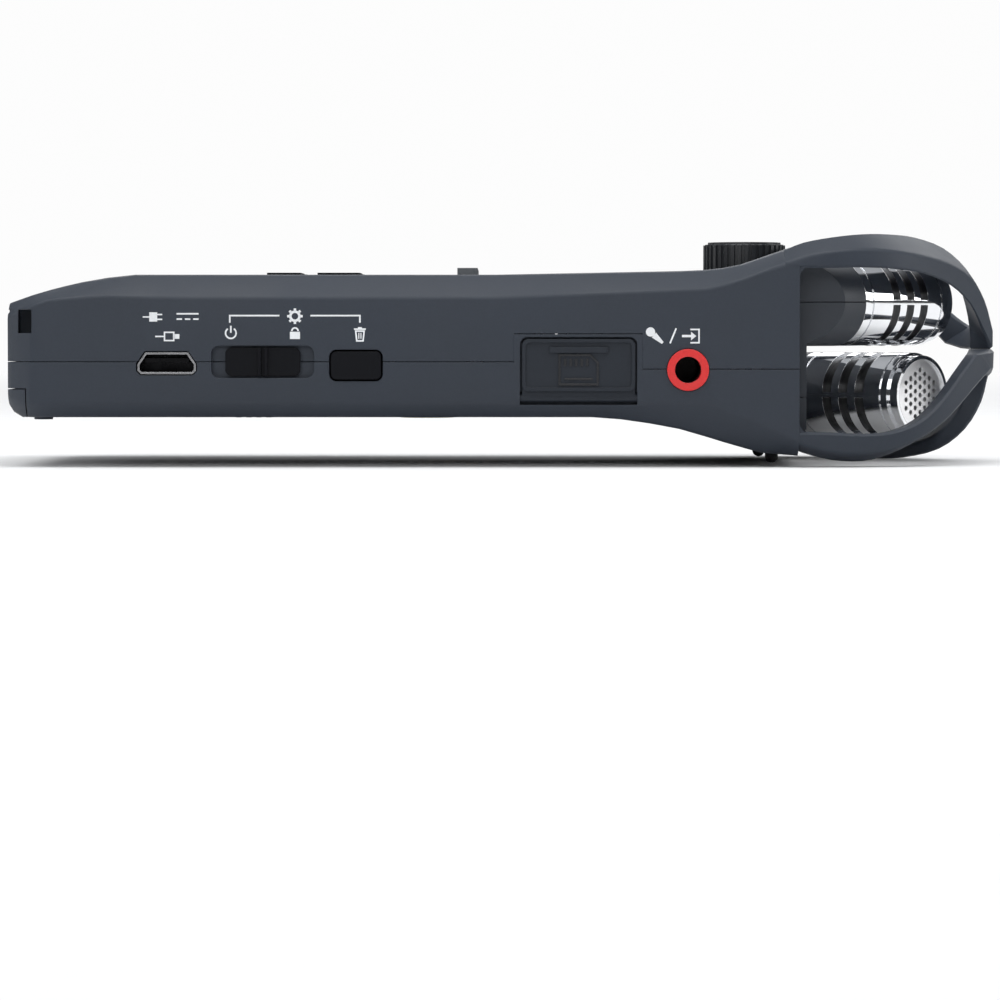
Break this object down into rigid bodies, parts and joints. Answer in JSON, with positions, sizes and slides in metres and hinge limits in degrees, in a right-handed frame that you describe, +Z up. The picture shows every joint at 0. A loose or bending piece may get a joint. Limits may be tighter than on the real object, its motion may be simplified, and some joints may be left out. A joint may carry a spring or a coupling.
{
  "type": "handheld stereo recorder",
  "caption": "Handheld stereo recorder with crossed microphones in an open two-hoop guard, level dial, side sockets and a sliding battery door.",
  "frame": {"origin": "centre of the bounding box in plan, at the lowest point of the microphone guard", "axes": "+X towards the microphone end, +Y towards the side with the output socket and volume keys, +Z up out of the display face"},
  "size_m": [0.1376, 0.0506, 0.032],
  "materials": {
    "casing": "matte moulded plastic, blue-grey charcoal",
    "display_glass": "glossy clear plastic window, grey tint",
    "lcd": "grey reflective display",
    "black_parts": "matte black plastic",
    "board": "green circuit board",
    "keys": "satin black plastic",
    "steel": "plain bright steel",
    "menu_keys": "satin mid-grey plastic",
    "red_ring": "glossy red plastic",
    "teal_ring": "glossy blue-green plastic",
    "chrome": "mirror chrome plating",
    "grille": "satin aluminium, pierced",
    "cells": "painted steel can",
    "brass": "turned brass",
    "rubber": "soft black rubber"
  },
  "bodies": {
    "recorder": {"upper_casing": "casing", "lower_casing": "casing", "display_window": "display_glass", "display_module": "lcd", "display_frame": "black_parts", "main_board": "board", "board_chips": "black_parts", "side_board": "board", "jack_board": "board", "level_pot": "steel", "tact_switches": "steel", "side_tacts": "steel", "slide_switch": "steel", "card_socket": "steel", "usb_socket": "steel", "input_jack": "black_parts", "input_ring": "red_ring", "output_jack": "black_parts", "output_ring": "teal_ring", "upper_mic_barrel": "chrome", "upper_mic_grille": "grille", "upper_mic_sleeve": "black_parts", "upper_mic_capsule": "black_parts", "lower_mic_barrel": "chrome", "lower_mic_grille": "grille", "lower_mic_sleeve": "black_parts", "lower_mic_capsule": "black_parts", "cradle_top": "casing", "cradle_middle": "casing", "cradle_bottom": "casing", "speaker": "black_parts", "battery_cells": "cells", "battery_contacts": "steel", "tripod_insert": "brass", "casing_screws": "steel", "head_feet": "rubber"},
    "dial": {"level_dial": "keys", "dial_shaft": "steel"},
    "record_key": {"record_button": "keys"},
    "stop_key": {"stop_button": "keys"},
    "play_key": {"play_button": "keys"},
    "rewind_key": {"rewind_button": "keys"},
    "forward_key": {"forward_button": "keys"},
    "menu_key_a": {"menu_button_a": "menu_keys"},
    "menu_key_b": {"menu_button_b": "menu_keys"},
    "menu_key_c": {"menu_button_c": "menu_keys"},
    "menu_key_d": {"menu_button_d": "menu_keys"},
    "power_slide": {"slide_knob": "keys"},
    "delete_key": {"delete_button": "keys"},
    "volume_up_key": {"volume_up": "keys"},
    "volume_down_key": {"volume_down": "keys"},
    "card_flap": {"card_cover": "casing"},
    "battery_door": {"battery_cover": "casing"}
  },
  "joints": [
    {"name": "dial_turn", "type": "hinge", "parent": "recorder", "child": "dial", "pos_m": [0.03345, 0, 0.028], "axis": [0, 0, 1], "range_deg": [-150, 150]},
    {"name": "record_press", "type": "slide", "parent": "recorder", "child": "record_key", "axis": [0, 0, -1], "range_m": [0, 0.0005], "stiffness_N_per_m": 300, "springref_m": -0.0005},
    {"name": "stop_press", "type": "slide", "parent": "recorder", "child": "stop_key", "axis": [0, 0, -1], "range_m": [0, 0.0005], "stiffness_N_per_m": 300, "springref_m": -0.0005},
    {"name": "play_press", "type": "slide", "parent": "recorder", "child": "play_key", "axis": [0, 0, -1], "range_m": [0, 0.0005], "stiffness_N_per_m": 300, "springref_m": -0.0005},
    {"name": "rewind_press", "type": "slide", "parent": "recorder", "child": "rewind_key", "axis": [0, 0, -1], "range_m": [0, 0.0005], "stiffness_N_per_m": 300, "springref_m": -0.0005},
    {"name": "forward_press", "type": "slide", "parent": "recorder", "child": "forward_key", "axis": [0, 0, -1], "range_m": [0, 0.0005], "stiffness_N_per_m": 300, "springref_m": -0.0005},
    {"name": "menu_press_a", "type": "slide", "parent": "recorder", "child": "menu_key_a", "axis": [0, 0, -1], "range_m": [0, 0.0005], "stiffness_N_per_m": 300, "springref_m": -0.0005},
    {"name": "menu_press_b", "type": "slide", "parent": "recorder", "child": "menu_key_b", "axis": [0, 0, -1], "range_m": [0, 0.0005], "stiffness_N_per_m": 300, "springref_m": -0.0005},
    {"name": "menu_press_c", "type": "slide", "parent": "recorder", "child": "menu_key_c", "axis": [0, 0, -1], "range_m": [0, 0.0005], "stiffness_N_per_m": 300, "springref_m": -0.0005},
    {"name": "menu_press_d", "type": "slide", "parent": "recorder", "child": "menu_key_d", "axis": [0, 0, -1], "range_m": [0, 0.0005], "stiffness_N_per_m": 300, "springref_m": -0.0005},
    {"name": "delete_press", "type": "slide", "parent": "recorder", "child": "delete_key", "axis": [0, 1, 0], "range_m": [0, 0.0006], "stiffness_N_per_m": 300, "springref_m": -0.0006},
    {"name": "volume_up_press", "type": "slide", "parent": "recorder", "child": "volume_up_key", "axis": [0, -1, 0], "range_m": [0, 0.0006], "stiffness_N_per_m": 300, "springref_m": -0.0006},
    {"name": "volume_down_press", "type": "slide", "parent": "recorder", "child": "volume_down_key", "axis": [0, -1, 0], "range_m": [0, 0.0006], "stiffness_N_per_m": 300, "springref_m": -0.0006},
    {"name": "power_slide_travel", "type": "slide", "parent": "recorder", "child": "power_slide", "axis": [1, 0, 0], "range_m": [-0.0017, 0.0017]},
    {"name": "card_flap_hinge", "type": "hinge", "parent": "recorder", "child": "card_flap", "pos_m": [0.00945, -0.0242, 0.0095], "axis": [1, 0, 0], "range_deg": [0, 95]},
    {"name": "battery_door_slide", "type": "slide", "parent": "recorder", "child": "battery_door", "axis": [-1, 0, 0], "range_m": [0, 0.012]}
  ]
}
